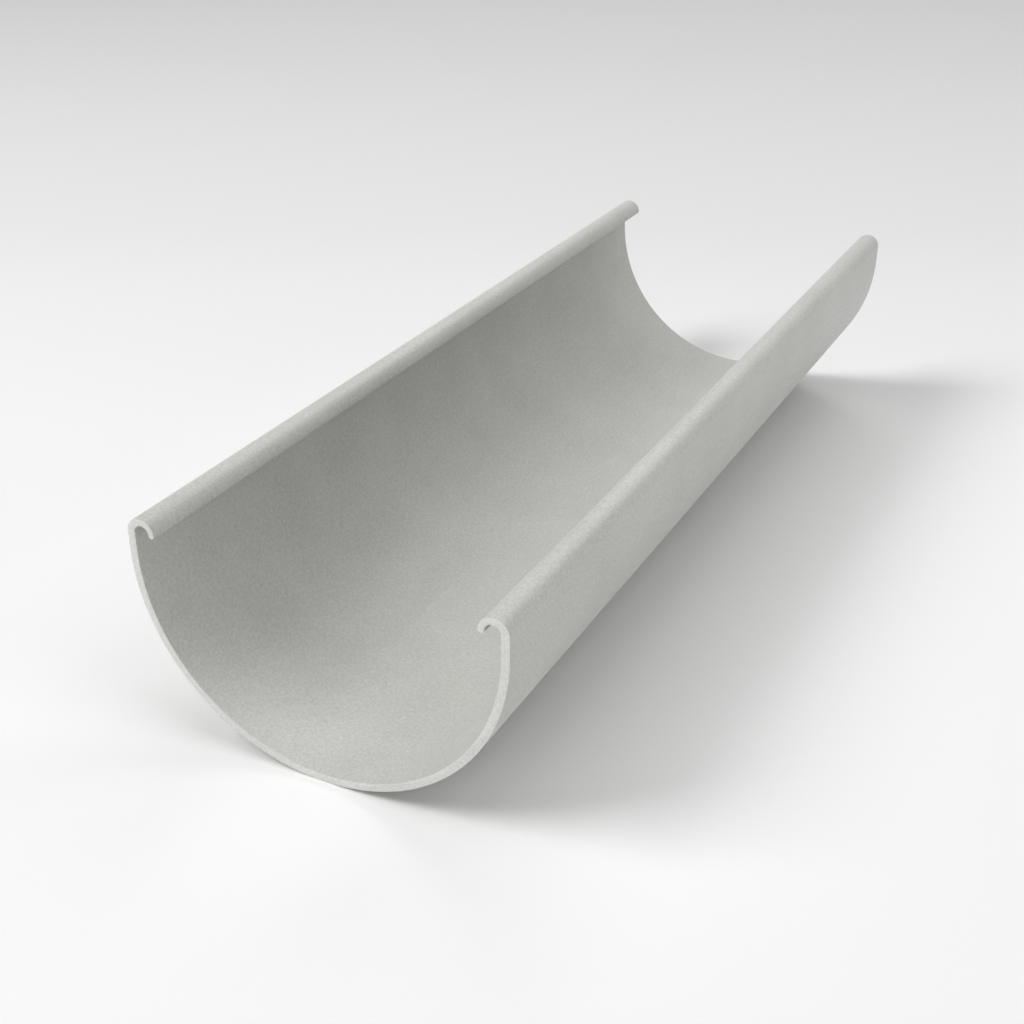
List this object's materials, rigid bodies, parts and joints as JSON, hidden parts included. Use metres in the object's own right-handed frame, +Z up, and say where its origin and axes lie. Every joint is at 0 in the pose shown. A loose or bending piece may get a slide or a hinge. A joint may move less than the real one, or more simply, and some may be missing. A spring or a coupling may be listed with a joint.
{
  "type": "half-round gutter section",
  "caption": "Cut length of light grey half-round plastic rain gutter, open along the top, with an inward curled lip along each top edge.",
  "frame": {"origin": "under the middle of the length, on the line where the round bottom rests on the ground", "axes": "+X across the gutter, +Y along its length, +Z up out of its open top"},
  "size_m": [0.112, 0.32, 0.066],
  "materials": {
    "grey_upvc": "smooth satin, as extruded"
  },
  "bodies": {
    "root": {"gutter_section": "grey_upvc"}
  },
  "joints": []
}
